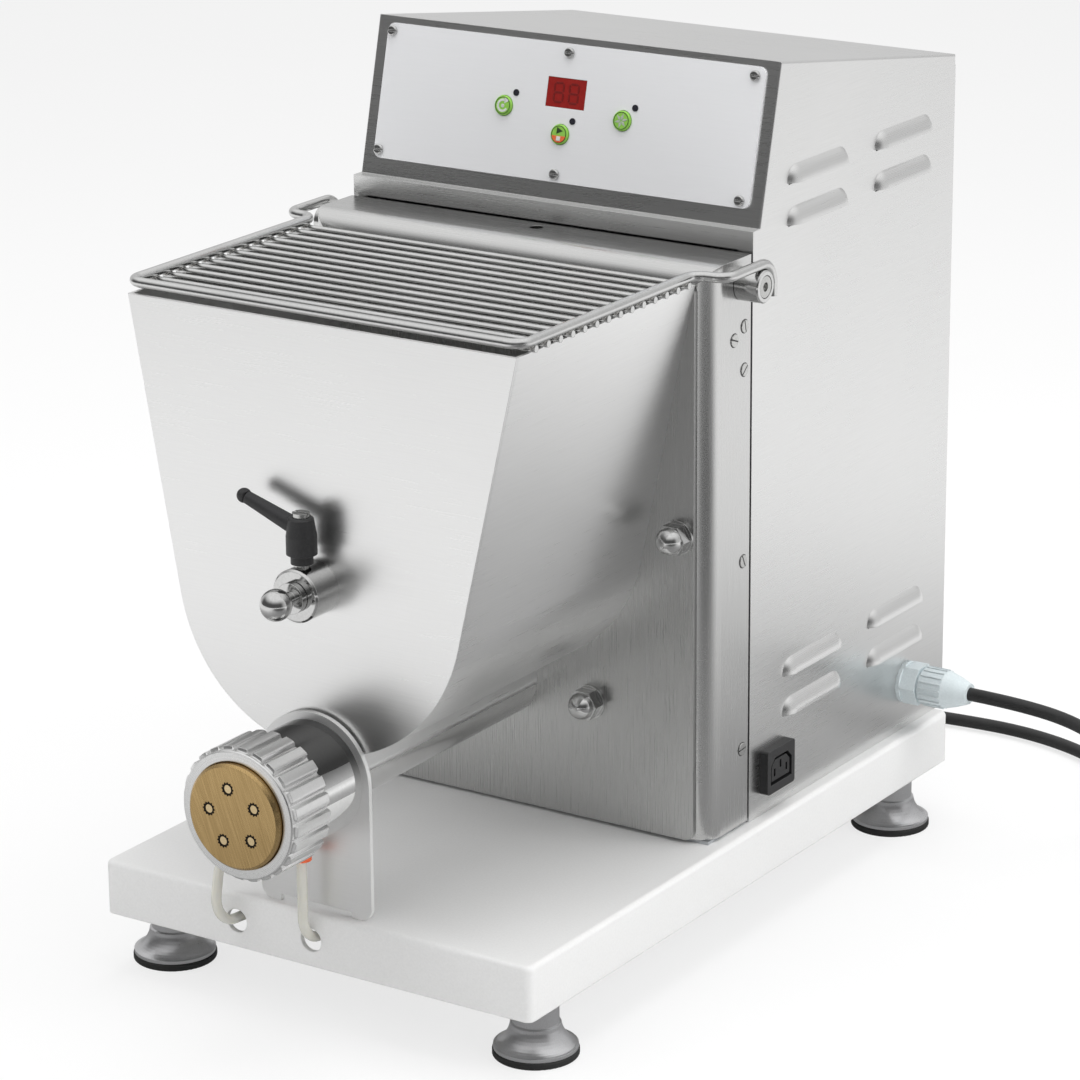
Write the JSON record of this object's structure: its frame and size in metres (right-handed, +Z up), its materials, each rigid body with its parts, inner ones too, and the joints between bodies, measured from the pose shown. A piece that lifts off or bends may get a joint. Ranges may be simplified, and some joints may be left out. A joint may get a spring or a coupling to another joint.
{
  "type": "electric pasta maker",
  "caption": "Countertop electric pasta maker: hopper with mixing paddle over an extruding screw, cooled brass die head with ring nut, steel housing with keys and display, white tray on feet.",
  "frame": {"origin": "centre of the footprint of the machine without its cord, on the surface that it stands on", "axes": "+Z up, -Y towards the die head and the user, +X to the user's right, where the cord leaves"},
  "size_m": [0.4182, 0.7061, 0.5275],
  "materials": {
    "white_tray": "white moulded board, satin",
    "foot_grey": "grey metallic paint",
    "rubber_black": "matt black rubber",
    "steel_plain": "plain steel",
    "steel_brushed": "brushed stainless steel",
    "steel_polished": "polished stainless steel",
    "screw_steel": "turned steel",
    "nut_alloy": "turned alloy, fluted",
    "brass": "turned brass",
    "gear_steel": "machined steel",
    "cast_alloy": "cast alloy",
    "rotor_iron": "laminated iron",
    "black_plastic": "black moulded plastic",
    "cowl_paint": "painted sheet",
    "label_white": "silver white film on plate",
    "display_red": "dark red window",
    "key_green": "green key",
    "lamp_dark": "dark lamp lens",
    "board_green": "circuit board",
    "hose_clear": "milky hose",
    "fitting_nickel": "nickel plated brass",
    "ring_orange": "orange release ring",
    "gland_grey": "light grey nylon",
    "cord_black": "black rubber cord",
    "tie_black": "black tie"
  },
  "bodies": {
    "root": {"base_tray": "white_tray", "foot_posts": "foot_grey", "foot_pads": "rubber_black", "chassis": "steel_plain", "plate_studs": "steel_plain", "housing_shell": "steel_brushed", "rear_cover": "steel_brushed", "front_casing": "steel_brushed", "hopper_shell": "steel_brushed", "hopper_front": "steel_brushed", "hopper_back_plate": "steel_brushed", "extrusion_tube": "steel_brushed", "front_bracket": "steel_brushed", "cooling_jacket": "steel_polished", "dome_nuts": "steel_polished", "pin_housing": "steel_polished", "pivot_screws": "steel_polished", "cover_screws": "screw_steel", "panel_screws": "screw_steel", "die": "brass", "die_pins": "brass", "shaft_bearings": "gear_steel", "gearbox_case": "cast_alloy", "gearbox_cover": "cast_alloy", "motor_casing": "cast_alloy", "outlet_socket": "black_plastic", "power_plug": "black_plastic", "fan_cowl": "cowl_paint", "label_plate": "label_white", "display_window": "display_red", "lamp_lenses": "lamp_dark", "control_board": "board_green", "water_hoses": "hose_clear", "hose_fittings": "fitting_nickel", "release_rings": "ring_orange", "cord_gland": "gland_grey", "cord_tube": "cord_black", "cord_coil": "cord_black", "coil_tie": "tie_black"},
    "grid": {"grid_frame": "steel_polished", "grid_rods": "steel_polished", "grid_pivots": "steel_polished"},
    "ring_nut": {"ring_nut": "nut_alloy"},
    "screw": {"auger": "steel_polished", "auger_shaft": "gear_steel", "auger_gears": "gear_steel"},
    "paddle": {"mixer_paddle": "steel_polished", "mixer_shaft": "gear_steel", "mixer_gear": "gear_steel"},
    "layshaft": {"layshaft": "gear_steel", "layshaft_gear": "gear_steel"},
    "rotor": {"rotor_shaft": "gear_steel", "rotor_core": "rotor_iron", "motor_fan": "black_plastic"},
    "mixer_pin": {"mixer_pin": "steel_polished"},
    "lever": {"clamp_lever": "black_plastic", "lever_stud": "screw_steel"},
    "start_key": {"start_button": "key_green"},
    "left_key": {"left_button": "key_green"},
    "right_key": {"right_button": "key_green"}
  },
  "joints": [
    {"name": "grid_lift", "type": "hinge", "parent": "root", "child": "grid", "pos_m": [0, 0.0235, 0.406], "axis": [-1, 0, 0], "range_deg": [0, 95]},
    {"name": "nut_turn", "type": "hinge", "parent": "root", "child": "ring_nut", "pos_m": [0, -0.2645, 0.151], "axis": [0, 1, 0], "range_deg": [0, 360]},
    {"name": "pin_pull", "type": "slide", "parent": "root", "child": "mixer_pin", "axis": [0, -1, 0], "range_m": [0, 0.028]},
    {"name": "lever_turn", "type": "hinge", "parent": "root", "child": "lever", "pos_m": [0, -0.2155, 0.29], "axis": [0, 0, 1], "range_deg": [0, 150]},
    {"name": "start_press", "type": "slide", "parent": "root", "child": "start_key", "axis": [0, 0.9714, -0.2374], "range_m": [0, 0.0006], "stiffness_N_per_m": 1200},
    {"name": "left_press", "type": "slide", "parent": "root", "child": "left_key", "axis": [0, 0.9714, -0.2374], "range_m": [0, 0.0006], "stiffness_N_per_m": 1200},
    {"name": "right_press", "type": "slide", "parent": "root", "child": "right_key", "axis": [0, 0.9714, -0.2374], "range_m": [0, 0.0006], "stiffness_N_per_m": 1200},
    {"name": "motor_spin", "type": "hinge", "parent": "root", "child": "rotor", "pos_m": [0.00963, 0.1335, 0.19975], "axis": [0, 1, 0], "continuous": true},
    {"name": "layshaft_spin", "type": "hinge", "parent": "root", "child": "layshaft", "pos_m": [0.06963, 0.0435, 0.19975], "axis": [0, 1, 0], "continuous": true},
    {"name": "screw_spin", "type": "hinge", "parent": "root", "child": "screw", "pos_m": [0, 0.0135, 0.151], "axis": [0, 1, 0], "continuous": true},
    {"name": "paddle_spin", "type": "hinge", "parent": "root", "child": "paddle", "pos_m": [0, 0.0135, 0.262], "axis": [0, 1, 0], "continuous": true}
  ],
  "couplings": [
    {"joint": "layshaft_spin", "follows": "motor_spin", "ratio": -0.25},
    {"joint": "screw_spin", "follows": "motor_spin", "ratio": 0.0625},
    {"joint": "paddle_spin", "follows": "motor_spin", "ratio": -0.03125}
  ]
}
